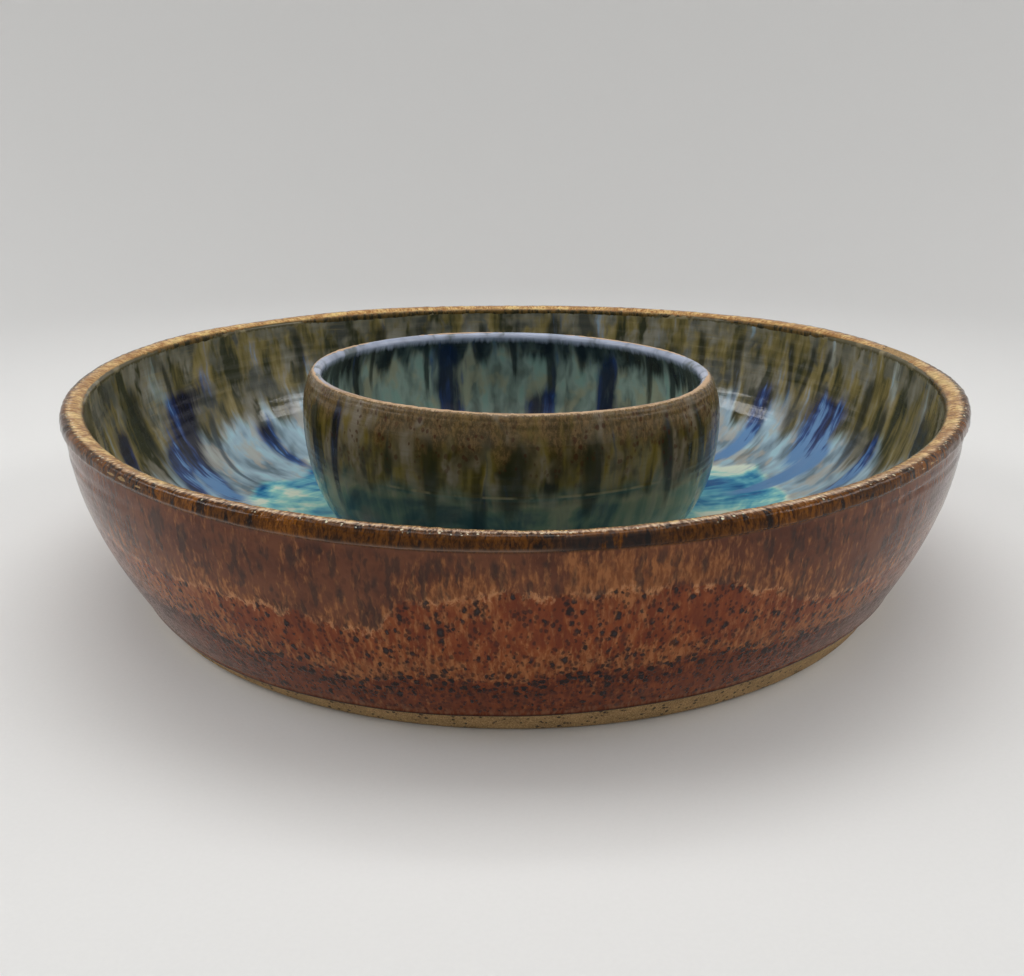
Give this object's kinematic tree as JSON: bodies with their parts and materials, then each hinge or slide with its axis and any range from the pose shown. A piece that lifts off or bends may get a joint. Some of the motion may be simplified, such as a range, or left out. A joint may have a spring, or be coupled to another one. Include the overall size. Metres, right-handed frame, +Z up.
{
  "type": "chip and dip server",
  "caption": "Round stoneware chip and dip server: a wide, low serving bowl with a rolled rim and a loose, rounded dip bowl standing in its middle.",
  "frame": {"origin": "centre of the serving bowl's foot, on the surface it stands on", "axes": "+Z up, out of the open bowls and along the way the dip bowl lifts out; +X to the right and +Y to the back"},
  "size_m": [0.305, 0.305, 0.07],
  "materials": {
    "outer_glaze": "glossy rust-brown glaze with tan streaks and dark iron specks, on the serving bowl's outside and rim",
    "inner_glaze": "glossy running glaze, olive and brown over blue and turquoise, on the serving bowl's inside and the dip bowl",
    "bare_clay": "unglazed khaki stoneware with dark specks, on the feet and undersides"
  },
  "bodies": {
    "server": {"serving_bowl": "outer_glaze"},
    "dip": {"dip_bowl": "inner_glaze"}
  },
  "joints": [
    {"name": "dip_bowl_lift", "type": "slide", "parent": "server", "child": "dip", "axis": [0, 0, 1], "range_m": [0, 0.1]}
  ]
}
